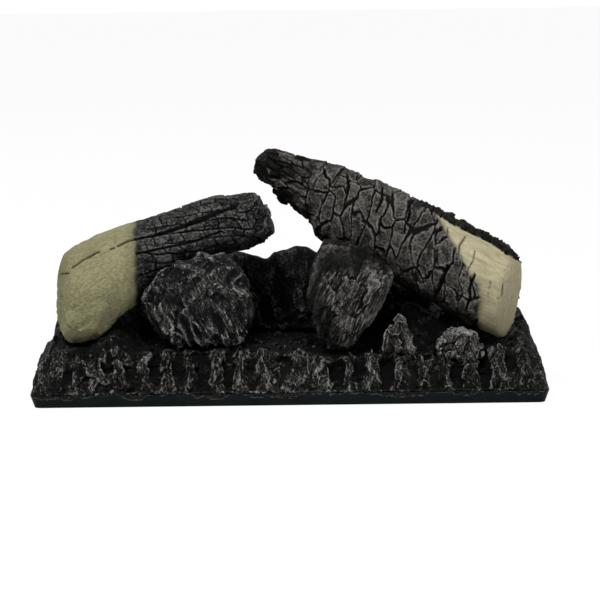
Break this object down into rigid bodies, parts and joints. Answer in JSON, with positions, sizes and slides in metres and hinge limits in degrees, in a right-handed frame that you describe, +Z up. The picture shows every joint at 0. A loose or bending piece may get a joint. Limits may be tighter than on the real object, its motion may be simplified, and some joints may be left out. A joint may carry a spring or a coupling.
{
  "type": "electric stove log and ember bed",
  "caption": "Free-standing log and ember bed of an electric stove: charred logs on a hollow moulded ember bed over a shallow tray, lit from below.",
  "frame": {"origin": "middle of the flat underside of the tray", "axes": "+X to the right as the picture shows the front, +Y towards the back of the stove, +Z up"},
  "size_m": [0.45, 0.18, 0.2101],
  "materials": {
    "tray_plastic": "satin, moulded, blue-black",
    "black_resin": "matt cast resin, dry-brushed grey on its edges",
    "charred_log": "matt cast resin painted as charred wood",
    "dowel_wood": "bare",
    "zinc": "zinc plated",
    "board_green": "solder mask",
    "lead_black": "matt"
  },
  "bodies": {
    "bed": {"base_tray": "tray_plastic", "ember_bed": "black_resin", "flicker_board": "board_green", "flicker_board_left_screw": "zinc", "flicker_board_right_screw": "zinc", "front_lamp_board": "board_green", "front_lamp_board_left_screw": "zinc", "front_lamp_board_right_screw": "zinc", "front_lamp_lead": "lead_black", "inlet_nut": "zinc", "left_log_inner_peg": "dowel_wood", "left_log_outer_peg": "dowel_wood", "left_support_log": "charred_log", "left_support_log_screw": "zinc", "middle_ember": "charred_log", "rear_lamp_board": "board_green", "rear_lamp_board_left_screw": "zinc", "rear_lamp_board_right_screw": "zinc", "rear_lamp_lead": "lead_black", "rear_log": "charred_log", "rear_log_left_screw": "zinc", "rear_log_right_screw": "zinc", "right_ember": "charred_log", "right_log_inner_peg": "dowel_wood", "right_log_outer_peg": "dowel_wood", "right_support_log": "charred_log", "right_support_log_screw": "zinc", "supply_inlet": "lead_black", "supply_lead": "lead_black", "tray_screw_1": "zinc", "tray_screw_2": "zinc", "tray_screw_3": "zinc", "tray_screw_4": "zinc", "tray_screw_5": "zinc", "tray_screw_6": "zinc"},
    "left_log": {"left_log": "charred_log"},
    "right_log": {"right_log": "charred_log"}
  },
  "joints": [
    {"name": "left_log_lift", "type": "slide", "parent": "bed", "child": "left_log", "axis": [-0.2982, -0.0556, 0.9529], "range_m": [0, 0.1]},
    {"name": "right_log_lift", "type": "slide", "parent": "bed", "child": "right_log", "axis": [0.4085, -0.1359, 0.9026], "range_m": [0, 0.1]}
  ]
}
